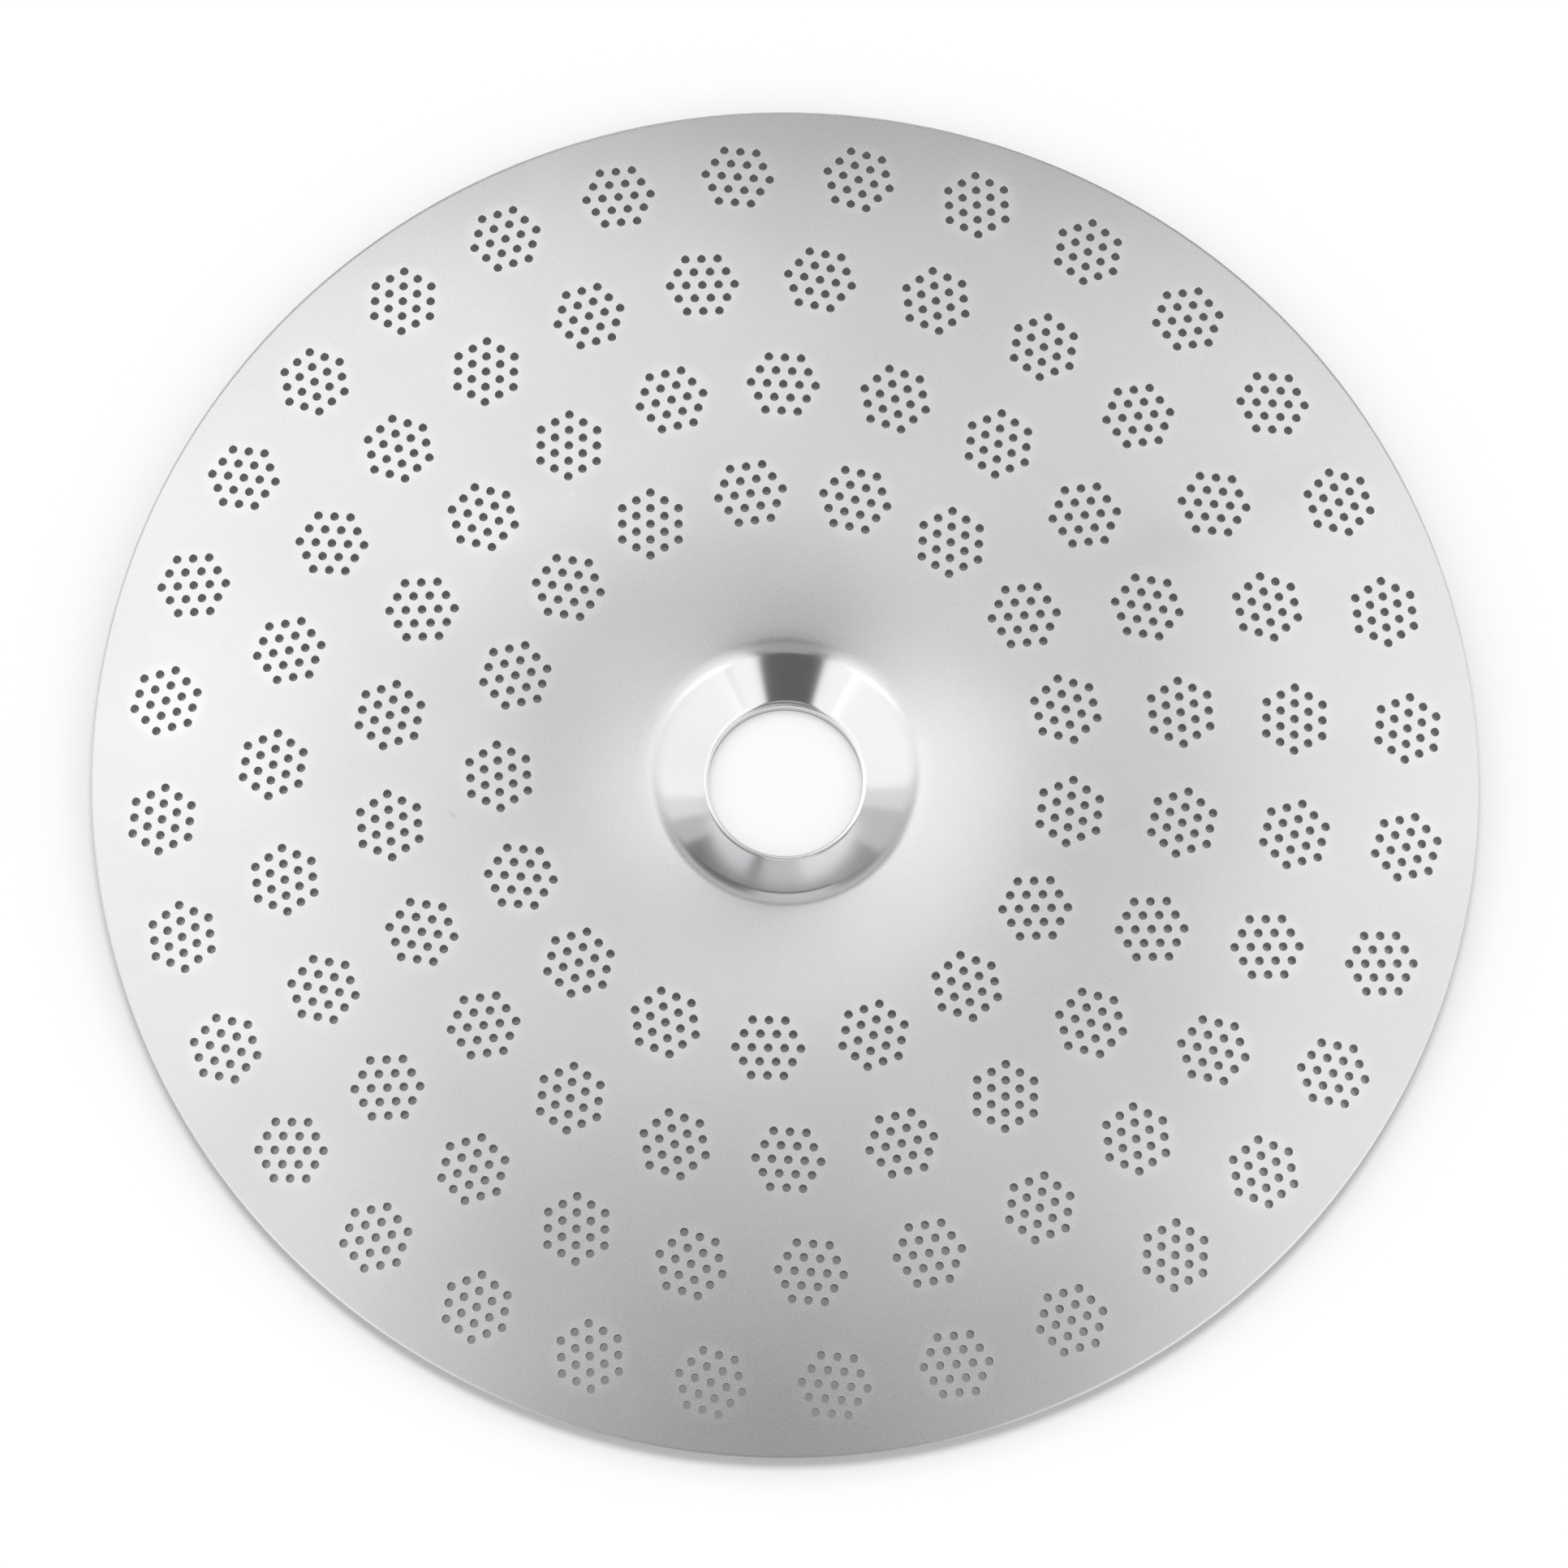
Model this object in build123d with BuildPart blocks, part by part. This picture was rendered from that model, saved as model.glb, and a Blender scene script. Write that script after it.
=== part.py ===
from build123d import *
import os
from math import asin, degrees, floor, sqrt

# Espresso shower screen: one disc of stainless sheet, perforated, domed and pressed in for its screw.
# It lies coffee side up on the flat lip of its screw cup, with the origin under the middle of the bore.
# Lengths are in millimetres and angles in degrees.

# Disc
SCREEN_DIAMETER = 55.5
SHEET_THICKNESS = 0.8
RIM_CHAMFER = 0.15

# Dome, whose section follows one arc outside its crest and a tighter arc inside it
CREST_DIAMETER = 23.2
DOME_RADIUS = 97.0
DISH_RADIUS = 40.0

# Screw cup in the middle, with a flat lip around the bore
BORE_DIAMETER = 6.2
LIP_WIDTH = 0.15
CUP_MOUTH_DIAMETER = 10.4
CUP_DEPTH = 2.1
BEND_RADIUS = 1.2

# Perforation, in rings of six-sided clusters of small holes that widen towards the underside
HOLE_DIAMETER = 0.35
HOLE_PITCH = 0.65
HOLES_ACROSS = 5
HOLE_FLARE = 0.05
FIRST_RING_RADIUS = 11.45
RING_PITCH = 4.5
PLAIN_RIM = 1.0
FIRST_RING_CLUSTERS = 17
CLUSTERS_ADDED_PER_RING = 5
ROW_LEAD_ANGLE = 6.55
ROW_SWING = 1.2

# Radii and heights of the sheet's upper face
rim_radius = SCREEN_DIAMETER / 2
crest_radius = CREST_DIAMETER / 2
bore_radius = BORE_DIAMETER / 2
lip_radius = bore_radius + LIP_WIDTH
mouth_radius = CUP_MOUTH_DIAMETER / 2
crest_height = SHEET_THICKNESS + CUP_DEPTH

# Rings of clusters that leave a plain rim
cluster_radius = (HOLES_ACROSS - 1) / 2 * HOLE_PITCH + HOLE_DIAMETER / 2
ring_room = rim_radius - PLAIN_RIM - cluster_radius - FIRST_RING_RADIUS
ring_radii = [FIRST_RING_RADIUS + ring * RING_PITCH for ring in range(floor(ring_room / RING_PITCH) + 1)]


def section_radius(radius):
    """Radius of the section's arc at a distance from the axis."""
    return DOME_RADIUS if radius > crest_radius else DISH_RADIUS


def face_height(radius):
    """Height of the arc at a distance from the axis."""
    arc = section_radius(radius)
    return crest_height - arc + sqrt(arc**2 - (radius - crest_radius) ** 2)


def face_lean(radius):
    """Angle by which the arc leans outwards at a distance from the axis."""
    return degrees(asin((radius - crest_radius) / section_radius(radius)))


def cluster_plane(radius, row_angle, depth):
    """Plane square to the dome at a ring's first cluster, at a depth under its face, with x along a row."""
    on_dome = Location((radius, 0, face_height(radius)), (0, face_lean(radius), 0))
    along_row = Location((0, 0, -depth), (0, 0, row_angle))
    return Plane(on_dome * along_row)


# One punch to each ring: the holes of a cluster run together into one six-sided gap with flared walls
punches = []
for ring, radius in enumerate(ring_radii):
    clusters = FIRST_RING_CLUSTERS + ring * CLUSTERS_ADDED_PER_RING
    row_angle = ROW_LEAD_ANGLE + ROW_SWING * 360 / clusters
    with BuildPart() as punch:
        for sheets_down in (-1, 2):
            with BuildSketch(cluster_plane(radius, row_angle, sheets_down * SHEET_THICKNESS)):
                RegularPolygon(cluster_radius + sheets_down * HOLE_FLARE, 6)
        loft()
    punches.append((clusters, punch.part))

# Section of the upper face, from the bore out past the rim, with one straight band to each ring
cup = [(bore_radius, SHEET_THICKNESS), (lip_radius, SHEET_THICKNESS)]
band_radii = [mouth_radius] + [radius - RING_PITCH / 2 for radius in ring_radii] + [rim_radius + SHEET_THICKNESS]
bands = [(radius, face_height(radius)) for radius in band_radii]
corner_radii = [0, BEND_RADIUS + SHEET_THICKNESS] + [0] * (len(bands) - 2)

with BuildPart() as shower_screen:
    # The sheet is its upper face, given its thickness, trimmed at the rim and turned around the axis
    with BuildSketch(Plane.XZ) as section:
        with BuildLine():
            FilletPolyline(*cup, *bands, radius=corner_radii)
            offset(amount=SHEET_THICKNESS, side=Side.RIGHT, kind=Kind.INTERSECTION)
        make_face()
        with Locations((rim_radius / 2, 0)):
            Rectangle(rim_radius, 3 * crest_height, mode=Mode.INTERSECT)
        rim_corners = section.vertices().group_by(Axis.X)[-1]
        chamfer(rim_corners.sort_by(Axis.Y)[-1], RIM_CHAMFER)
    revolve(axis=Axis.Z)

    # The gaps of each ring
    for clusters, punch_part in punches:
        with PolarLocations(0, clusters):
            add(punch_part, mode=Mode.SUBTRACT)

os.makedirs("parts", exist_ok=True)
shower_screen.part.label = "shower_screen"
export_step(shower_screen.part, "parts/shower_screen.step")
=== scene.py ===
# %% [markdown]
# # Espresso shower screen
# The screen is a single disc of stainless sheet. A punch perforates it in rings of small clusters,
# and a press then domes it and sinks a cup for the screw that holds it.
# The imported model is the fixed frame, and this lesson models the finished sheet in the same place.

from math import asin, cos, hypot, pi, radians, sqrt

import bpy
from mathutils import Matrix, Vector


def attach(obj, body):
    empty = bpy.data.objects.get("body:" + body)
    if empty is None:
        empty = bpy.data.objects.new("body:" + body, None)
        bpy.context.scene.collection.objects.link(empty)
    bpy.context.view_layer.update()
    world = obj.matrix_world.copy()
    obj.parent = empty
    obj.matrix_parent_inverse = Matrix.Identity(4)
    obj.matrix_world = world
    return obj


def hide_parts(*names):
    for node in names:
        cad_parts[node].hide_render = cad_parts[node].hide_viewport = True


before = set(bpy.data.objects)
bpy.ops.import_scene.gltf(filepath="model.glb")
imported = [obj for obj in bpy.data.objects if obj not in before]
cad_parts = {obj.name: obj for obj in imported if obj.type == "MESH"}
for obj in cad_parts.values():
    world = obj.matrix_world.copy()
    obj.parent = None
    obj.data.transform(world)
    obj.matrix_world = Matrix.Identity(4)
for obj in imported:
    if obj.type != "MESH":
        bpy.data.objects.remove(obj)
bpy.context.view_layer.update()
print("packed nodes:", sorted(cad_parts))

# %% [markdown]
# ## The section of the sheet
# A pressed disc is the same all round, so half of its section says everything about its form.
# The section could be typed in as a list of points. Here it is described as the press makes it:
# one arc outside the crest, a tighter one inside it, and a straight wall down to a flat lip.

# %% Sizes and heights of the upper face
MM = 0.001
RIM_RADIUS = 27.75 * MM
SHEET_THICKNESS = 0.8 * MM
CREST_RADIUS = 11.6 * MM
CREST_HEIGHT = 2.9 * MM
DOME_ARC = 97 * MM
DISH_ARC = 40 * MM
BORE_RADIUS = 3.1 * MM
LIP_RADIUS = 3.25 * MM
MOUTH_RADIUS = 5.2 * MM


def arc_at(radius):
    """Radius of the section's arc at a distance from the axis."""
    return DOME_ARC if radius > CREST_RADIUS else DISH_ARC


def face_height(radius):
    """Height of the upper face at a distance from the axis."""
    arc = arc_at(radius)
    return CREST_HEIGHT - arc + sqrt(arc**2 - (radius - CREST_RADIUS) ** 2)


def face_lean(radius):
    """Angle by which the upper face leans outwards at a distance from the axis."""
    return asin((radius - CREST_RADIUS) / arc_at(radius))


print("height at the rim, mm:", round(face_height(RIM_RADIUS) / MM, 3))
print("height at the cup's mouth, mm:", round(face_height(MOUTH_RADIUS) / MM, 3))

# %% [markdown]
# ## The points of the section
# Each arc is walked in short steps, because bright metal shows every flat.
# A narrow band at the rim keeps the smooth shading of the dome away from its edge.

# %% List the points from the bore to the rim
DISH_STEPS = 8
DOME_STEPS = 14
EDGE_BAND = 0.12 * MM


def steps_between(start, end, steps):
    """Distances after start, evenly spaced and ending at end."""
    return [start + (end - start) * step / steps for step in range(1, steps + 1)]


radii = [MOUTH_RADIUS]
radii += steps_between(MOUTH_RADIUS, CREST_RADIUS, DISH_STEPS)
radii += steps_between(CREST_RADIUS, RIM_RADIUS - EDGE_BAND, DOME_STEPS)
radii += [RIM_RADIUS]
section = [Vector((BORE_RADIUS, 0, SHEET_THICKNESS)), Vector((LIP_RADIUS, 0, SHEET_THICKNESS))]
section += [Vector((radius, 0, face_height(radius))) for radius in radii]
print("points listed:", len(section))

# %% [markdown]
# ## Draw the section
# A curve could be drawn and converted, but a mesh can be drawn directly.
# A plane merged to one point is a pen: each extrude draws one more edge of the section.

# %% Extrude the section
bpy.ops.object.select_all(action="DESELECT")
bpy.ops.mesh.primitive_plane_add(size=MM)
sheet = bpy.context.object
sheet.name = "perforated_sheet"
bpy.ops.object.mode_set(mode="EDIT")
bpy.ops.mesh.select_all(action="SELECT")
bpy.ops.mesh.merge(type="CENTER")
bpy.ops.transform.translate(value=section[0])
for here, there in zip(section, section[1:]):
    bpy.ops.mesh.extrude_region_move(TRANSFORM_OT_translate={"value": there - here})
bpy.ops.object.mode_set(mode="OBJECT")
print("points in the section:", len(sheet.data.vertices))

# %% [markdown]
# ## Round the two bends of the cup
# Sheet never bends to a sharp corner. A vertex bevel sets each corner back and puts an arc there,
# a tight one at the foot of the cup and a wide one at its mouth.

# %% Bevel the foot and the mouth
FOOT_SETBACK = 0.1 * MM
MOUTH_SETBACK = 0.4 * MM
BEND_STEPS = 6
NEAR = 0.001 * MM


def edit_selected(piece, kind, test):
    """Opens a piece in edit mode with only its points, edges or faces selected that pass a test."""
    bpy.ops.object.mode_set(mode="EDIT")
    bpy.ops.mesh.select_mode(type=kind)
    bpy.ops.mesh.select_all(action="DESELECT")
    bpy.ops.object.mode_set(mode="OBJECT")
    parts = {"VERT": piece.data.vertices, "EDGE": piece.data.edges, "FACE": piece.data.polygons}[kind]
    for part in parts:
        part.select = test(part)
    bpy.ops.object.mode_set(mode="EDIT")


def round_corner(radius, setback):
    """Rounds the section's corner that lies at a distance from the axis."""
    edit_selected(sheet, "VERT", lambda point: abs(point.co.x - radius) < NEAR)
    bpy.ops.mesh.bevel(affect="VERTICES", offset=setback, segments=BEND_STEPS)
    bpy.ops.object.mode_set(mode="OBJECT")


round_corner(LIP_RADIUS, FOOT_SETBACK)
round_corner(MOUTH_RADIUS, MOUTH_SETBACK)
print("points with the bends:", len(sheet.data.vertices))

# %% [markdown]
# ## Turn the section into a face
# Spinning the section round the axis gives the upper face of the sheet. The end of the turn meets its start,
# so the doubled points there are merged, and the face has to look up before it gets a thickness.

# %% Spin the section
TURN_STEPS = 192

bpy.ops.object.mode_set(mode="EDIT")
bpy.ops.mesh.select_all(action="SELECT")
bpy.ops.mesh.spin(steps=TURN_STEPS, angle=2 * pi, center=(0, 0, 0), axis=(0, 0, 1))
bpy.ops.mesh.select_all(action="SELECT")
bpy.ops.mesh.remove_doubles(threshold=NEAR)
bpy.ops.mesh.normals_make_consistent(inside=False)
bpy.ops.object.mode_set(mode="OBJECT")
if sheet.data.polygons[0].normal.z < 0:
    sheet.data.flip_normals()
print("faces of the upper side:", len(sheet.data.polygons))

# %% [markdown]
# ## Give the sheet its thickness
# Solidify adds the sheet's thickness downwards, with edges square to the face as a blanking die leaves them.
# A small bevel takes the sharpness off those edges, as tumbling does.

# %% Thicken and deburr
BURR_WIDTH = 0.04 * MM
BURR_STEPS = 2
EDGE_ANGLE = radians(50)

thicken = sheet.modifiers.new("thickness", "SOLIDIFY")
thicken.thickness = SHEET_THICKNESS
thicken.offset = -1
thicken.use_even_offset = True
bpy.ops.object.modifier_apply(modifier=thicken.name)
deburr = sheet.modifiers.new("deburr", "BEVEL")
deburr.width = BURR_WIDTH
deburr.segments = BURR_STEPS
deburr.limit_method = "ANGLE"
deburr.angle_limit = EDGE_ANGLE
bpy.ops.object.modifier_apply(modifier=deburr.name)
print("sheet before punching:", len(sheet.data.polygons), "faces")

# %% [markdown]
# ## One pin of the punch
# A perforating tool is a block of hardened pins. Each pin is a cylinder with a small collar,
# because a punched hole is slightly drawn in at its mouth.
# Ten sides look round at this size, and the sheet has many holes.

# %% Model the pin
HOLE_RADIUS = 0.175 * MM
MOUTH_DRAW = 0.015 * MM
COLLAR_HEIGHT = 2 * MOUTH_DRAW
COLLAR_SCALE = (HOLE_RADIUS + 2 * MOUTH_DRAW) / HOLE_RADIUS
PIN_SIDES = 10
PIN_REACH = 1.2 * MM
FACING_UP = 0.9

pin_middle = (0, 0, -PIN_REACH / 2 - MOUTH_DRAW)
bpy.ops.object.select_all(action="DESELECT")
bpy.ops.mesh.primitive_cylinder_add(
    vertices=PIN_SIDES, radius=HOLE_RADIUS, depth=PIN_REACH, location=pin_middle
)
pin = bpy.context.object
pin.name = "pin"
bpy.ops.object.transform_apply(location=True)
edit_selected(pin, "FACE", lambda face: face.normal.z > FACING_UP)
bpy.ops.mesh.extrude_region_move(TRANSFORM_OT_translate={"value": (0, 0, COLLAR_HEIGHT)})
bpy.ops.transform.resize(value=(COLLAR_SCALE, COLLAR_SCALE, 1))
bpy.ops.object.mode_set(mode="OBJECT")
print("faces of the pin:", len(pin.data.polygons))

# %% [markdown]
# ## The grid of a cluster
# The holes of a cluster lie on a grid of equal triangles, in rows of three, four, five, four and three,
# so the cluster has six sides. An array could copy the pins, but a list of places can also follow the dome.

# %% List the places of a cluster's holes
HOLE_PITCH = 0.65 * MM
GRID_REACH = 2
ROW_RISE = HOLE_PITCH * sqrt(3) / 2


def cluster_grid():
    """Places of a cluster's holes around its middle, with the rows along x."""
    places = []
    for row in range(-GRID_REACH, GRID_REACH + 1):
        holes = 2 * GRID_REACH + 1 - abs(row)
        for hole in range(holes):
            places.append(Vector(((hole - (holes - 1) / 2) * HOLE_PITCH, row * ROW_RISE)))
    return places


print("holes in a cluster:", len(cluster_grid()))

# %% [markdown]
# ## The pins of a cluster
# Each pin stands square to the dome at its own place, so that every mouth is drawn in alike.
# The pin is modelled once, and every copy of it has its own mesh.

# %% Copy and join pieces
def select_only(pieces):
    """Selects the pieces and makes the first one active."""
    bpy.ops.object.select_all(action="DESELECT")
    for piece in pieces:
        piece.select_set(True)
    bpy.context.view_layer.objects.active = pieces[0]


def placed_copy(source, place):
    """A copy of a piece with its own mesh, moved to its place in the mesh."""
    piece = source.copy()
    piece.data = source.data.copy()
    piece.data.transform(place)
    bpy.context.collection.objects.link(piece)
    return piece


def joined(pieces):
    """Joins the pieces into the first one."""
    select_only(pieces)
    bpy.ops.object.join()
    return pieces[0]


def cluster_pins(ring_radius, row_angle):
    """The pins of a ring's first cluster as one piece, with its rows turned by an angle."""
    pins = []
    for place in cluster_grid():
        place.rotate(Matrix.Rotation(row_angle, 2))
        x = ring_radius + place.x * cos(face_lean(ring_radius))
        radius = hypot(x, place.y)
        stand = Matrix.Translation((x, place.y, face_height(radius)))
        lean = Matrix.Rotation(face_lean(radius), 4, "Y")
        pins.append(placed_copy(pin, stand @ lean))
    return joined(pins)


print("width of a cluster, mm:", round(2 * (GRID_REACH * HOLE_PITCH + HOLE_RADIUS) / MM, 2))

# %% [markdown]
# ## The whole punch
# Every ring has its first cluster on the same line, and its rows turn a little further than the line does.
# The pins of that cluster are copied round the axis, and all the copies become one tool.

# %% Copy the clusters round the rings
FIRST_RING = 11.45 * MM
RING_PITCH = 4.5 * MM
RING_CLUSTERS = (17, 22, 27, 32)
ROW_LEAD = radians(6.55)
ROW_SWING = 1.2

tools = []
for ring, clusters in enumerate(RING_CLUSTERS):
    cluster_step = 2 * pi / clusters
    first_cluster = cluster_pins(FIRST_RING + ring * RING_PITCH, ROW_LEAD + ROW_SWING * cluster_step)
    for cluster in range(1, clusters):
        tools.append(placed_copy(first_cluster, Matrix.Rotation(cluster * cluster_step, 4, "Z")))
    tools.append(first_cluster)
punch = joined(tools)
bpy.data.objects.remove(pin)
print("clusters:", sum(RING_CLUSTERS), "pins:", sum(RING_CLUSTERS) * len(cluster_grid()))

# %% [markdown]
# ## Punch the sheet
# Holes could be faked with a see-through pattern, but then they would have no walls.
# A Boolean takes the pins out of the sheet, which leaves real holes to look and shine through.
# The tool is then put away.

# %% Cut the holes
select_only([sheet])
perforate = sheet.modifiers.new("perforation", "BOOLEAN")
perforate.operation = "DIFFERENCE"
perforate.solver = "MANIFOLD"
perforate.object = punch
bpy.ops.object.modifier_apply(modifier=perforate.name)
bpy.data.objects.remove(punch)
print("faces of the perforated sheet:", len(sheet.data.polygons))

# %% [markdown]
# ## Smooth shading
# The dome has to reflect as one smooth face, while the holes and the blanked edges stay crisp.
# Smoothing by angle does both.

# %% Smooth by angle
CREASE_ANGLE = radians(40)

select_only([sheet])
bpy.ops.object.shade_smooth_by_angle(angle=CREASE_ANGLE)
print("edges kept sharp:", sum(edge.use_edge_sharp for edge in sheet.data.edges))

# %% [markdown]
# ## Satin steel
# The sheet is satin stainless steel, a bright metal whose fine grain blurs what it reflects.
# A picture of such steel could be wrapped round the sheet, but a tree of nodes stays sharp at any size.
# The edge tint says that at a low angle this steel reflects a little less than all the light.

# %% Start the satin steel
METAL = 1.0
EDGE_TINT = (0.8, 0.8, 0.8, 1)


def new_metal(name):
    """Starts a metal, and gives it with its node tree, its shader and the point's place on the piece."""
    metal = bpy.data.materials.new(name)
    metal.use_nodes = True
    tree = metal.node_tree
    shader = tree.nodes["Principled BSDF"]
    shader.inputs["Metallic"].default_value = METAL
    place = tree.nodes.new("ShaderNodeTexCoord").outputs["Object"]
    return metal, tree, shader, place


steel, tree, shader, place = new_metal("satin_steel")
shader.inputs["Specular Tint"].default_value = EDGE_TINT
print("material:", steel.name)

# %% [markdown]
# ## Where the finish changes
# A finish can be painted on, or it can follow from where a point lies, as here.
# The point's distance from the axis, seen in plan, tells the cup from the dome.

# %% Measure the distance from the axis
def length(tree, vector):
    """Adds a node that measures how long a vector is."""
    node = tree.nodes.new("ShaderNodeVectorMath")
    node.operation = "LENGTH"
    tree.links.new(vector, node.inputs[0])
    return node.outputs["Value"]


split = tree.nodes.new("ShaderNodeSeparateXYZ")
tree.links.new(place, split.inputs["Vector"])
plan = tree.nodes.new("ShaderNodeCombineXYZ")
for axis in "XY":
    tree.links.new(split.outputs[axis], plan.inputs[axis])
from_axis = length(tree, plan.outputs["Vector"])
print("nodes that measure from the axis:", len(tree.nodes))

# %% [markdown]
# ## Where the clusters are
# The distance from the middle of the nearest cluster tells the painted light halo round the clusters from
# the plain sheet.
# Ping-pong folds the angle round the axis to half a cluster's share, so one sum serves a whole ring.

# %% Measure the distance from the nearest cluster
def calculate(tree, operation, *values):
    """Adds a node that works something out from numbers and from other nodes' results."""
    node = tree.nodes.new("ShaderNodeMath")
    node.operation = operation
    for socket, value in zip(node.inputs, values):
        if isinstance(value, bpy.types.NodeSocket):
            tree.links.new(value, socket)
        else:
            socket.default_value = value
    return node.outputs["Value"]


angle = calculate(tree, "ARCTAN2", split.outputs["Y"], split.outputs["X"])
to_cluster = from_axis
for ring, clusters in enumerate(RING_CLUSTERS):
    ring_radius = FIRST_RING + ring * RING_PITCH
    off_angle = calculate(tree, "PINGPONG", angle, pi / clusters)
    off_middle = tree.nodes.new("ShaderNodeCombineXYZ")
    tree.links.new(calculate(tree, "MULTIPLY", off_angle, ring_radius), off_middle.inputs["X"])
    tree.links.new(calculate(tree, "SUBTRACT", from_axis, ring_radius), off_middle.inputs["Y"])
    to_cluster = calculate(tree, "MINIMUM", to_cluster, length(tree, off_middle.outputs["Vector"]))
print("nodes with the clusters:", len(tree.nodes))

# %% [markdown]
# ## The grain
# The grain of the sheet is a noise with about nine specks to the millimetre.
# It lies fixed on the piece, so it stays where it is when the camera moves.

# %% Add the grain
GRAIN_SCALE = 9000
GRAIN_DETAIL = 2


def add_node(tree, kind, **inputs):
    """Adds a shader node and sets its inputs, with underscores for the spaces in their names."""
    node = tree.nodes.new(kind)
    for name, value in inputs.items():
        node.inputs[name.replace("_", " ")].default_value = value
    return node


def noise(tree, place, scale, detail):
    """Adds a noise that lies fixed on the piece."""
    node = add_node(tree, "ShaderNodeTexNoise", Scale=scale, Detail=detail)
    tree.links.new(place, node.inputs["Vector"])
    return node.outputs["Fac"]


grain = noise(tree, place, GRAIN_SCALE, GRAIN_DETAIL)
print("specks of grain to the millimetre:", GRAIN_SCALE * MM)

# %% [markdown]
# ## Rough and smooth
# The grain varies the roughness a little and also raises a very low bump, which sparkles in bright light.
# The cup has neither, because the press tool has rubbed it smooth.

# %% Roughness and bump
CUP_EDGE = (4.7 * MM, 5.5 * MM)
CUP_ROUGHNESS = 0.15
SATIN_ROUGHNESS = (0.27, 0.29)
GRAIN_SPREAD = (0.3, 0.7)
GRAIN_DEPTH = 0.002 * MM
GRAIN_STRENGTH = 0.25


def soft_step(tree, value, start, end, before, after):
    """Adds a node that goes smoothly from one level to another between two values."""
    step = add_node(tree, "ShaderNodeMapRange", From_Min=start, From_Max=end, To_Min=before, To_Max=after)
    step.interpolation_type = "SMOOTHSTEP"
    tree.links.new(value, step.inputs["Value"])
    return step.outputs["Result"]


finish = add_node(tree, "ShaderNodeMix", A=CUP_ROUGHNESS)
tree.links.new(soft_step(tree, from_axis, *CUP_EDGE, 0, 1), finish.inputs["Factor"])
tree.links.new(soft_step(tree, grain, *GRAIN_SPREAD, *SATIN_ROUGHNESS), finish.inputs["B"])
tree.links.new(finish.outputs["Result"], shader.inputs["Roughness"])
bump = add_node(tree, "ShaderNodeBump", Distance=GRAIN_DEPTH)
tree.links.new(soft_step(tree, from_axis, *CUP_EDGE, 0, GRAIN_STRENGTH), bump.inputs["Strength"])
tree.links.new(grain, bump.inputs["Height"])
tree.links.new(bump.outputs["Normal"], shader.inputs["Normal"])
print("roughness of the cup and of the satin:", CUP_ROUGHNESS, SATIN_ROUGHNESS)

# %% [markdown]
# ## Light and dark on the sheet
# No sheet is one even grey. Soft clouds remain from rolling and pickling, and the rubbed cup is a little
# brighter.
# Round each cluster the sheet gets a painted highlight, a light halo over its holes. All of them add up to
# one level.

# %% Clouds, painted highlight round the clusters, and cup
CLOUD_SCALE = 110
CLOUD_DETAIL = 3
# The patch round each cluster is a painted highlight, a light halo over its holes.
PATCH_RADIUS = 1.3 * MM
PATCH_EDGE = 0.5 * MM
PAINTED_HIGHLIGHT_LIFT = 0.2
CUP_LIFT = 0.5

cloud = noise(tree, place, CLOUD_SCALE, CLOUD_DETAIL)
# Painted highlight: the sheet is lighter round each cluster of holes.
painted_highlight = soft_step(tree, to_cluster, PATCH_RADIUS, PATCH_RADIUS + PATCH_EDGE, PAINTED_HIGHLIGHT_LIFT, 0)
in_cup = soft_step(tree, from_axis, *CUP_EDGE, CUP_LIFT, 0)
level = calculate(tree, "ADD", cloud, painted_highlight)
level = calculate(tree, "ADD", level, in_cup)
print("pressed patch of a cluster, mm across:", round(2 * (PATCH_RADIUS + PATCH_EDGE) / MM, 2))

# %% [markdown]
# ## Marks of use
# This sheet has one grey smudge and one light scratch, both between its first two rings of clusters.
# Each has its place, its angle, its half length and width, and how far it lifts or lowers the level.
# A Mapping node measures in a mark's own lengths, so the distance from its middle is 1 at its edge.

# %% Smudge and scratch
MARKS = {
    "smudge": ((8.8 * MM, 10.1 * MM), radians(7), (0.45 * MM, 0.16 * MM), -0.3),
    "scratch": ((13.8 * MM, -3.0 * MM), radians(140), (0.42 * MM, 0.08 * MM), 0.2),
}

for (mark_x, mark_y), mark_angle, (half_length, half_width), lift in MARKS.values():
    mark = add_node(tree, "ShaderNodeMapping", Location=(mark_x, mark_y, 0), Rotation=(0, 0, mark_angle))
    mark.vector_type = "TEXTURE"
    mark.inputs["Scale"].default_value = (half_length, half_width, 1)
    tree.links.new(plan.outputs["Vector"], mark.inputs["Vector"])
    off_mark = length(tree, mark.outputs["Vector"])
    level = calculate(tree, "ADD", level, soft_step(tree, off_mark, 0, 1, lift, 0))
print("marks:", list(MARKS))

# %% [markdown]
# ## Steel greys
# Stainless steel is a neutral grey that leans a little to blue. A colour ramp turns the one level
# into such greys, so that the finish can be thought of in light and dark alone.

# %% Colour the satin steel
BLUE_LEAN = 1.015
TONES = ((0.0, 0.45), (0.35, 0.61), (0.65, 0.65), (1.0, 0.74))


def steel_greys(tree, level, tones):
    """Adds a ramp of greys, each given as the level where it lies and its tone."""
    ramp = tree.nodes.new("ShaderNodeValToRGB")
    stops = ramp.color_ramp.elements
    while len(stops) < len(tones):
        stops.new(1.0)
    for stop, (position, tone) in zip(stops, tones):
        stop.position = position
        stop.color = (tone, tone, tone * BLUE_LEAN, 1)
    tree.links.new(level, ramp.inputs["Fac"])
    return ramp.outputs["Color"]


tree.links.new(steel_greys(tree, level, TONES), shader.inputs["Base Color"])
print("nodes in the satin steel:", len(tree.nodes))

# %% [markdown]
# ## Punched walls
# A punch shears the upper part of a hole and tears the rest, so its wall is dull beside the face
# and mottled with small torn flecks. It is a metal of its own.

# %% Make the dull steel of the holes
FLECK_SCALE = 14000
FLECK_DETAIL = 2
FLECK_TONES = ((0.35, 0.54), (0.65, 0.76))
TORN_ROUGHNESS = 0.5

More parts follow.
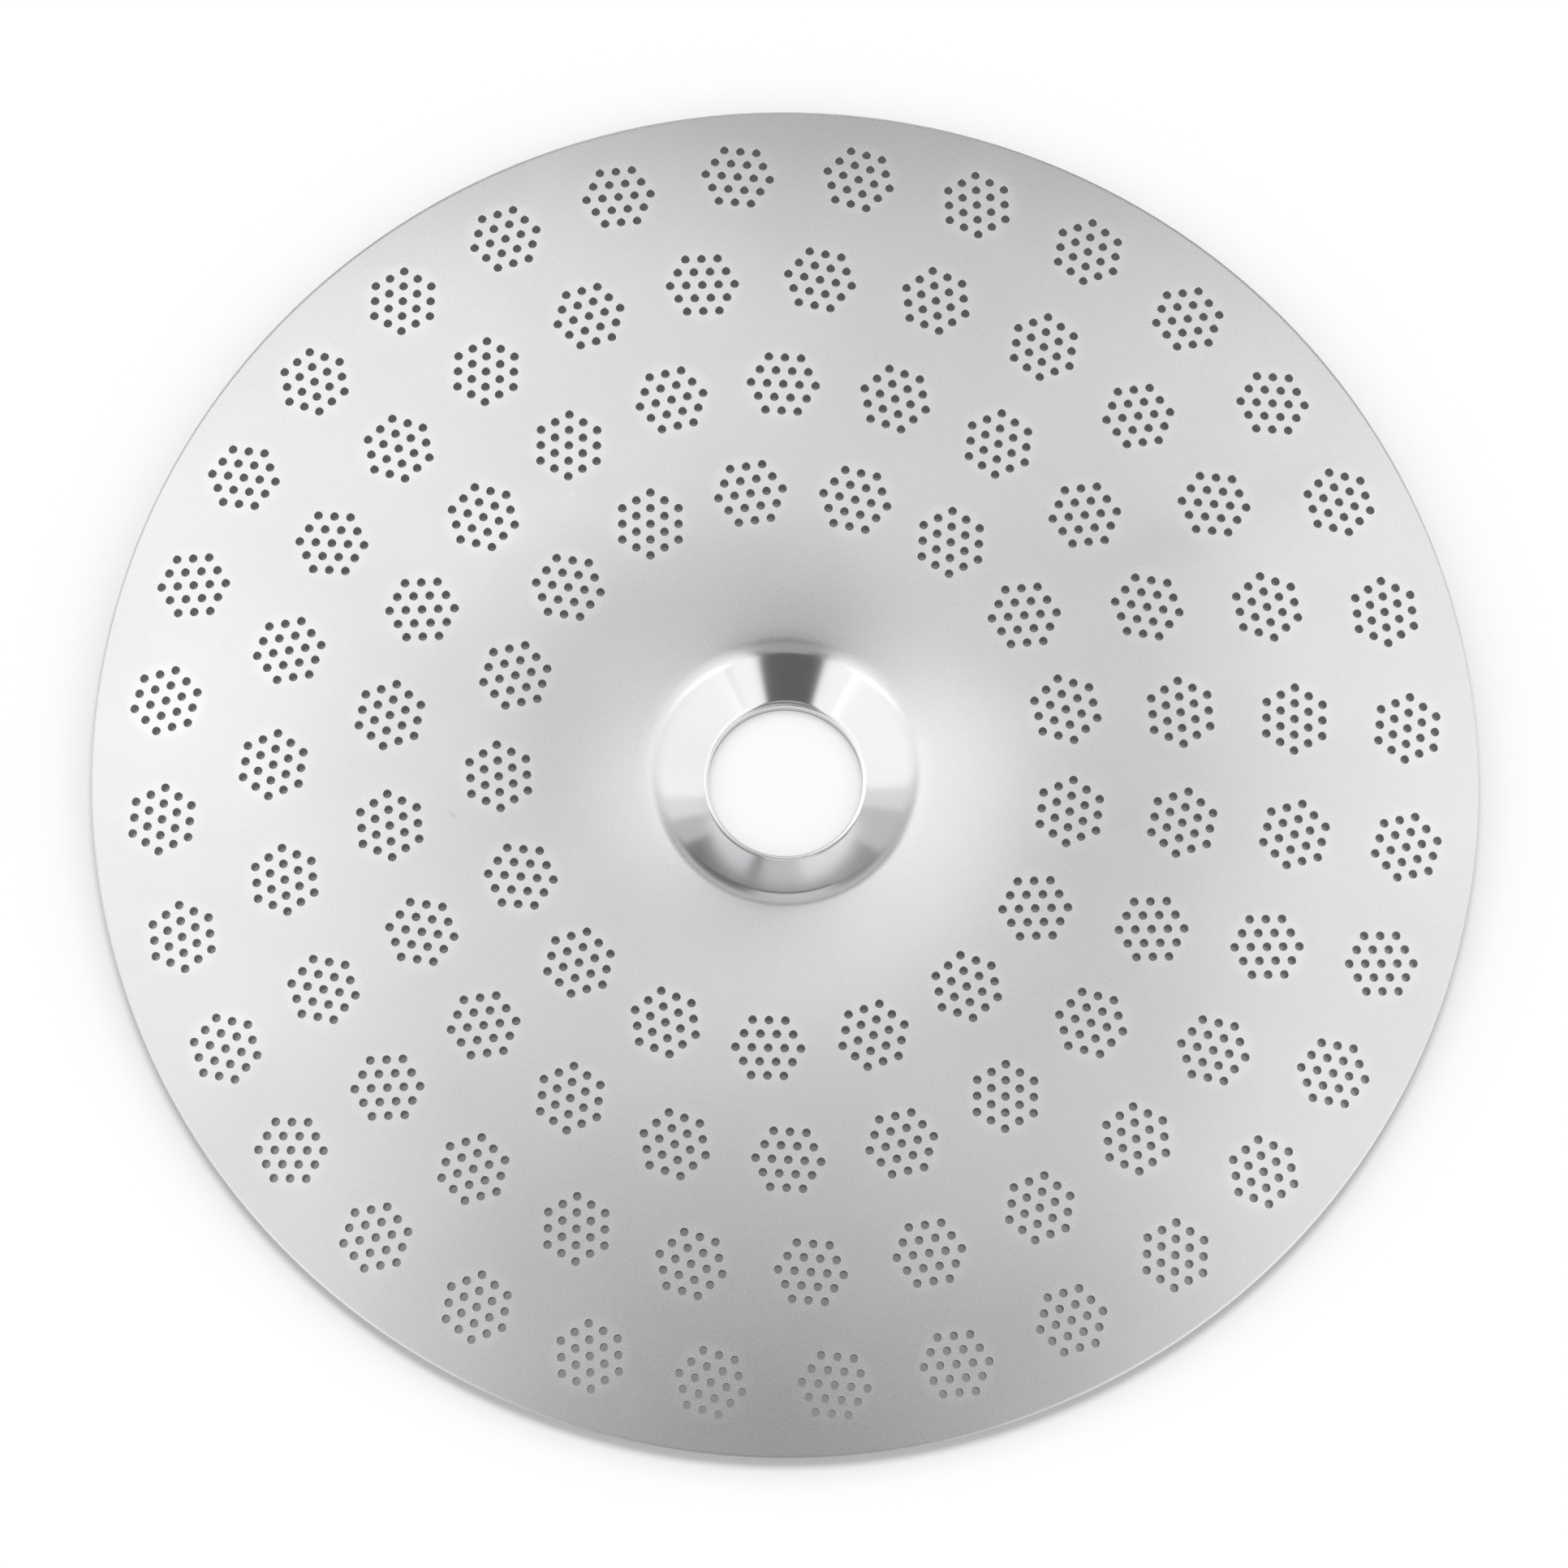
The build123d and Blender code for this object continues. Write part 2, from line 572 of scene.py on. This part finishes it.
torn, tree, shader, place = new_metal("torn_steel")
shader.inputs["Roughness"].default_value = TORN_ROUGHNESS
flecks = noise(tree, place, FLECK_SCALE, FLECK_DETAIL)
tree.links.new(steel_greys(tree, flecks, FLECK_TONES), shader.inputs["Base Color"])
print("nodes in the torn steel:", len(tree.nodes))

# %% [markdown]
# ## Which face has which steel
# The walls of the holes are the only steep faces among the rings, so a face's lean and its distance
# from the axis tell them from the sheet. Nothing has to be selected by hand.

# %% Give the faces their steel
WALL_LEAN = 0.5

sheet.data.materials.clear()
sheet.data.materials.append(steel)
sheet.data.materials.append(torn)
ring_start = FIRST_RING - 2 * GRID_REACH * HOLE_PITCH
ring_end = RIM_RADIUS - HOLE_PITCH
for face in sheet.data.polygons:
    in_rings = ring_start < hypot(face.center.x, face.center.y) < ring_end
    face.material_index = 1 if in_rings and abs(face.normal.z) < WALL_LEAN else 0
print("wall faces:", sum(face.material_index for face in sheet.data.polygons))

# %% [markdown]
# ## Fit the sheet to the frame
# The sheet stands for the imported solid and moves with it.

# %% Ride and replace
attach(sheet, "root")
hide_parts("shower_screen")
print("piece of the scene:", sheet.name)

# %% [markdown]
# ## Camera
# The photograph looks down on the disc from a distance with a long lens, so the far rim is barely smaller.
# The camera is turned round the axis, tilted and rolled, and then moved back from the point it aims at.

# %% Place the camera
CAMERA_AZIMUTH = radians(218.28)
CAMERA_TILT = radians(14.09)
CAMERA_ROLL = radians(2.34)
CAMERA_DISTANCE = 505.3 * MM
LENS = 290.45
SENSOR_WIDTH = 36
NEAREST_SEEN = 0.01
FARTHEST_SEEN = 20
AIM = Vector((0, 0, 1.977 * MM))
AIM_OFFSET = Vector((0.063 * MM, 0.412 * MM, 0))

turn = Matrix.Rotation(CAMERA_AZIMUTH, 3, "Z")
camera_turn = turn @ Matrix.Rotation(CAMERA_TILT, 3, "X") @ Matrix.Rotation(CAMERA_ROLL, 3, "Z")
camera_place = AIM + camera_turn @ (Vector((0, 0, CAMERA_DISTANCE)) - AIM_OFFSET)
bpy.ops.object.camera_add(location=camera_place, rotation=camera_turn.to_euler())
camera = bpy.context.object
camera.data.lens = LENS
camera.data.sensor_width = SENSOR_WIDTH
camera.data.clip_start = NEAREST_SEEN
camera.data.clip_end = FARTHEST_SEEN
bpy.context.scene.camera = camera
print("camera at, metres:", [round(number, 3) for number in camera.location])

# %% [markdown]
# ## Floor
# The disc lies on white paper, a wide flat circle whose edge is too far off to be seen.
# A backdrop that curls up would show in the metal, so the paper stays flat.

# %% Lay the paper
FLOOR_RADIUS = 6.0
FLOOR_SIDES = 96

bpy.ops.object.select_all(action="DESELECT")
bpy.ops.mesh.primitive_circle_add(vertices=FLOOR_SIDES, radius=FLOOR_RADIUS, fill_type="NGON")
floor = bpy.context.object
floor.name = "paper_floor"
print("paper, metres across:", 2 * FLOOR_RADIUS)

# %% [markdown]
# ## Paper under the disc
# Paper under soft light is never quite white in a picture, so it also glows a little for the camera
# and for reflections. Under the disc that glow is lowered, a painted shade, and it is painted lighter
# towards the rim as light leaking in under it. Inside the bore it is as light as the open paper.

# %% Make the paper near the disc
PAPER_COLOUR = (0.52, 0.52, 0.52, 1)
# Levels of glow. Under the disc they are painted shade, painted lighter at the rim.
GLOW_SHADE = 0.13
PAINTED_SHADE_AT_RIM = 0.17
GLOW_OPEN = 0.5
SHADE_EDGE = 0.3 * MM

paper = bpy.data.materials.new("white_paper")
paper.use_nodes = True
tree = paper.node_tree
tree.nodes.remove(tree.nodes["Principled BSDF"])
from_axis = length(tree, add_node(tree, "ShaderNodeTexCoord").outputs["Object"])
# Painted shade: the glow is lowered under the disc and painted lighter towards the rim, as light leaking in
# under it.
in_bore = (BORE_RADIUS - SHADE_EDGE, BORE_RADIUS + SHADE_EDGE, GLOW_OPEN, GLOW_SHADE)
painted_shade_under_rings = (FIRST_RING, RIM_RADIUS, GLOW_SHADE, PAINTED_SHADE_AT_RIM)
outside = (RIM_RADIUS - SHADE_EDGE, RIM_RADIUS + SHADE_EDGE, 0, GLOW_OPEN)
glow_and_painted_shade = soft_step(tree, from_axis, *in_bore)
for glow_step in (painted_shade_under_rings, outside):
    glow_and_painted_shade = calculate(tree, "MAXIMUM", glow_and_painted_shade, soft_step(tree, from_axis, *glow_step))

rays = add_node(tree, "ShaderNodeLightPath")
camera_rays = rays.outputs["Is Camera Ray"]
glossy_rays = rays.outputs["Is Glossy Ray"]
seen = calculate(tree, "MAXIMUM", camera_rays, glossy_rays)
matt = add_node(tree, "ShaderNodeBsdfDiffuse", Color=PAPER_COLOUR)
glow = add_node(tree, "ShaderNodeEmission")
near_paper = add_node(tree, "ShaderNodeAddShader")
tree.links.new(calculate(tree, "MULTIPLY", glow_and_painted_shade, seen), glow.inputs["Strength"])
tree.links.new(matt.outputs["BSDF"], near_paper.inputs[0])
tree.links.new(glow.outputs["Emission"], near_paper.inputs[1])
print("glow of the open paper:", GLOW_OPEN, "and under the disc:", GLOW_SHADE, "to", PAINTED_SHADE_AT_RIM)

# %% [markdown]
# ## Paper far off
# Away from the disc the paper fades into the one pale tone of the backdrop, so that no edge
# and no patches of light show in a low view. Reflections see it darker than the camera does.

# %% Fade the paper into the backdrop
FAR_OFF = (0.06, 0.6)
FAR_SEEN = 0.88
FAR_REFLECTED = 0.3

far_seen = calculate(tree, "MULTIPLY", camera_rays, FAR_SEEN)
far_reflected = calculate(tree, "MULTIPLY", glossy_rays, FAR_REFLECTED)
far_paper = add_node(tree, "ShaderNodeEmission")
tree.links.new(calculate(tree, "MAXIMUM", far_seen, far_reflected), far_paper.inputs["Strength"])
fade = tree.nodes.new("ShaderNodeMixShader")
tree.links.new(soft_step(tree, from_axis, *FAR_OFF, 0, 1), fade.inputs["Fac"])
tree.links.new(near_paper.outputs["Shader"], fade.inputs[1])
tree.links.new(far_paper.outputs["Emission"], fade.inputs[2])
tree.links.new(fade.outputs["Shader"], tree.nodes["Material Output"].inputs["Surface"])
floor.data.materials.append(paper)
print("paper fades between, metres from the axis:", FAR_OFF)

# %% [markdown]
# ## Light
# Metal shows what surrounds it, so the light is a tent of soft panels and not a lamp.
# Places in the tent are given as the camera sees them: to the right, beyond the disc and up.
# A panel's level is its radiance, so it looks equally bright in the metal whatever its size.

# %% A soft panel of the tent
ROOF = 0.6
SIDE = 0.5
LEFT = -1
RIGHT = 1

panels = []


def soft_panel(name, middle, facing, width, height, radiance, spin=0.0):
    """Hangs a soft light at a place right of, beyond and above the disc as the camera sees it."""
    rotation = turn @ Vector(facing).to_track_quat("-Z", "Y").to_matrix() @ Matrix.Rotation(spin, 3, "Z")
    bpy.ops.object.light_add(type="AREA", location=turn @ Vector(middle), rotation=rotation.to_euler())
    panel = bpy.context.object
    panel.name = name
    panel.data.shape = "RECTANGLE"
    panel.data.size = width
    panel.data.size_y = height
    panel.data.energy = radiance * pi * width * height
    panel.visible_camera = False
    panels.append(panel)


def roof_panel(name, right, beyond, width, depth, radiance, spin=0.0):
    """Hangs a panel in the roof, looking down."""
    soft_panel(name, (right, beyond, ROOF), (0, 0, -1), width, depth, radiance, spin)


def side_panel(name, side, beyond, up, width, height, radiance):
    """Hangs a panel in the left or right side, looking across the disc."""
    soft_panel(name, (side * SIDE, beyond, up), (-side, 0, 0), width, height, radiance)


def far_panel(name, right, up, width, height, radiance):
    """Hangs a panel in the far end, looking at the camera's side."""
    soft_panel(name, (right, ROOF, up), (0, -1, 0), width, height, radiance)


print("tent, metres wide and high:", 2 * SIDE, ROOF)

# %% [markdown]
# ## The roof of the tent
# The dome shows the roof. Its two halves are bright beyond the disc, with a dimmer strip between them.
# The slot over the camera is nearly dark, which is the grey wedge on the near side of the disc.

# %% Hang the roof
roof_panel("roof_left", -0.105, 0.245, 0.11, 0.41, 1.3)
roof_panel("roof_left_out", -0.33, 0.26, 0.34, 0.38, 1.46)
roof_panel("roof_right", 0.125, 0.275, 0.09, 0.35, 1.12)
roof_panel("roof_right_out", 0.335, 0.26, 0.33, 0.38, 1.3)
roof_panel("roof_middle", 0.0025, 0.28, 0.105, 0.34, 0.87)
roof_panel("roof_fill", 0.045, 0.045, 0.09, 0.13, 0.78)
roof_panel("slot_fill", 0, -0.09, 0.2, 0.22, 0.19)
roof_panel("slot_near", 0.01, -0.56, 0.34, 0.56, 0.33)
print("panels in the roof:", len(panels))

# %% [markdown]
# ## The near end of the tent
# The far wall of the cup leans towards the camera and shows the near end. Two long panels spread away
# from the camera and leave a gap, and that gap is the dark notch in the cup.

# %% Hang the near end
SPREAD_LEFT = radians(-17)
SPREAD_RIGHT = radians(13.5)

roof_panel("near_left", -0.601, -1.01, 0.4, 2.3, 1.12, SPREAD_LEFT)
roof_panel("near_right", 0.561, -1.002, 0.4, 2.3, 1.14, SPREAD_RIGHT)
soft_panel("near_side", (0, -1.45, 0.22), (0, 1, 0), 2 * SIDE, 0.44, 1.3)
print("panels with the near end:", len(panels))

# %% [markdown]
# ## The sides of the tent
# Both sides are bright, and the cup shows them as two light crescents. They fade towards the far end
# in two steps, because the crescents end softly. Low strips keep the rim light in a view from the side.

# %% Hang the sides
side_panel("left_side", LEFT, -0.205, ROOF / 2, 0.75, ROOF, 1.1)
side_panel("left_fade", LEFT, 0.23, ROOF / 2, 0.12, ROOF, 0.82)
side_panel("left_low", LEFT, -1.01, 0.1, 0.86, 0.2, 1.0)
side_panel("left_corner", LEFT, 0.445, ROOF / 2, 0.31, ROOF, 0.56)
side_panel("right_side", RIGHT, -0.155, ROOF / 2, 0.85, ROOF, 1.1)
side_panel("right_fade", RIGHT, 0.335, ROOF / 2, 0.13, ROOF, 0.84)
side_panel("right_low", RIGHT, -1.01, 0.1, 0.86, 0.2, 1.0)
side_panel("right_corner", RIGHT, 0.5, ROOF / 2, 0.2, ROOF, 0.5)
print("panels with the sides:", len(panels))

# %% [markdown]
# ## The far end of the tent
# The near wall of the cup shows the far end, which is dim. A small window in it
# is the soft highlight on that wall, and a lighter band runs along its top.

# %% Hang the far end
far_panel("far_left", -0.35, 0.2, 0.3, 0.4, 0.25)
far_panel("far_window", -0.05, 0.26, 0.3, 0.28, 0.7)
far_panel("far_right", 0.3, 0.2, 0.4, 0.4, 0.08)
far_panel("far_upper", 0, 0.5, 2 * SIDE, 0.2, 0.7)
print("panels in the tent:", len(panels))

# %% [markdown]
# ## The room around the tent
# The room is dim, and the metal shows it wherever no panel hangs.
# The camera sees the pale backdrop in its place, in the same tone as the far paper.

# %% Make the room
ROOM_COLOUR = (0.12, 0.12, 0.125, 1)

world = bpy.data.worlds.new("studio")
bpy.context.scene.world = world
world.use_nodes = True
tree = world.node_tree
room = tree.nodes["Background"]
room.inputs["Color"].default_value = ROOM_COLOUR
backdrop = add_node(tree, "ShaderNodeBackground", Color=(FAR_SEEN, FAR_SEEN, FAR_SEEN, 1))
choose = tree.nodes.new("ShaderNodeMixShader")
rays = tree.nodes.new("ShaderNodeLightPath")
tree.links.new(rays.outputs["Is Camera Ray"], choose.inputs["Fac"])
tree.links.new(room.outputs["Background"], choose.inputs[1])
tree.links.new(backdrop.outputs["Background"], choose.inputs[2])
tree.links.new(choose.outputs["Shader"], tree.nodes["World Output"].inputs["Surface"])
bpy.context.scene.view_settings.view_transform = "Standard"
print("view transform:", bpy.context.scene.view_settings.view_transform)
